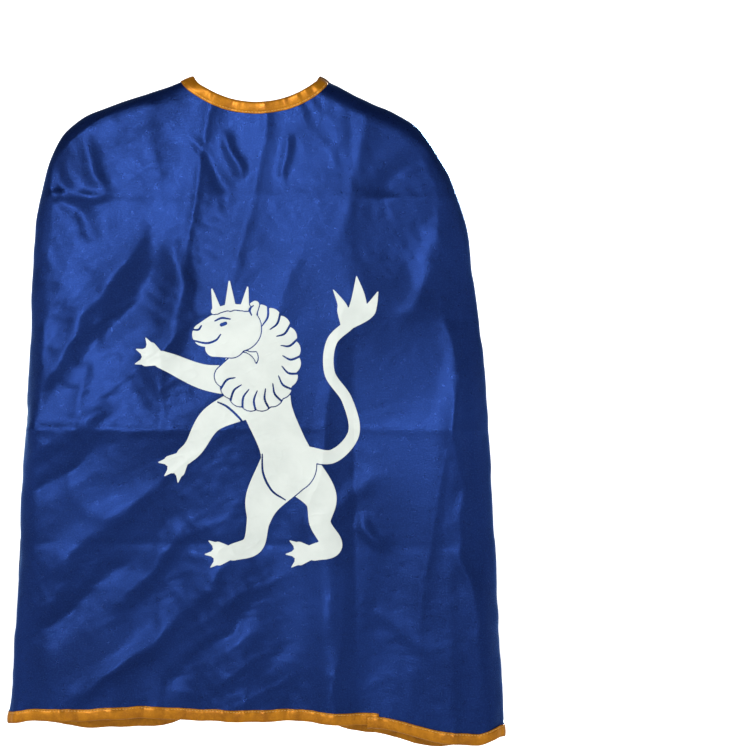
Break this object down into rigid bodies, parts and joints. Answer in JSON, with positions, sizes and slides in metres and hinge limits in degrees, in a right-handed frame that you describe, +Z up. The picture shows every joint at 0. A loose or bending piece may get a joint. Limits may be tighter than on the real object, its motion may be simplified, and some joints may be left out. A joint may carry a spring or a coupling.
{
  "type": "costume cape",
  "caption": "Child's knight cape in blue satin with open fronts, gold bias-taped edges, a chest tab that closes by hook and loop, and a lion printed on the back.",
  "frame": {"origin": "middle of the neck opening, level with the two neck points where the shoulder seams meet the neck edge", "axes": "+X the wearer's right, +Y the wearer's front, +Z up through the neck opening"},
  "size_m": [0.5084, 0.0412, 0.6806],
  "materials": {
    "satin": "royal blue polyester satin",
    "gold_tape": "gold satin bias tape",
    "gold_thread": "gold sewing thread",
    "white_film": "white transfer film",
    "label_cloth": "woven label, blank",
    "hook_cloth": "hook tape",
    "loop_cloth": "loop tape"
  },
  "bodies": {
    "root": {"back_panel": "satin", "left_front_side": "satin", "right_front_side": "satin", "left_side_seam": "satin", "right_side_seam": "satin", "neck_binding": "gold_tape", "neck_stitching": "gold_thread", "hem_binding": "gold_tape", "hem_stitching": "gold_thread", "lion_print": "white_film"},
    "left_front": {"left_front_panel": "satin", "left_front_binding": "gold_tape", "left_front_stitching": "gold_thread", "tab_anchor": "gold_tape", "tab_anchor_stitching": "gold_thread"},
    "right_front": {"right_front_panel": "satin", "right_front_binding": "gold_tape", "right_front_stitching": "gold_thread", "loop_patch": "loop_cloth"},
    "tab": {"chest_tab": "gold_tape", "chest_tab_stitching": "gold_thread", "hook_patch": "hook_cloth"},
    "labels": {"care_label": "label_cloth", "size_label": "label_cloth"}
  },
  "joints": [
    {"name": "left_front_swing", "type": "hinge", "parent": "root", "child": "left_front", "pos_m": [-0.05958, 0.0177, -0.022], "axis": [0.2158, 0, 0.9764], "range_deg": [0, 75]},
    {"name": "right_front_swing", "type": "hinge", "parent": "root", "child": "right_front", "pos_m": [0.05958, 0.0177, -0.022], "axis": [0.2158, 0, -0.9764], "range_deg": [0, 75]},
    {"name": "tab_hinge", "type": "hinge", "parent": "left_front", "child": "tab", "pos_m": [-0.031, 0.0223, -0.142], "axis": [0, 0, 1], "range_deg": [0, 120]},
    {"name": "label_flip", "type": "hinge", "parent": "root", "child": "labels", "pos_m": [0, -0.0164, -0.0395], "axis": [1, 0, 0], "range_deg": [0, 110]}
  ],
  "couplings": [
    {"joint": "right_front_swing", "follows": "left_front_swing", "ratio": 1}
  ]
}
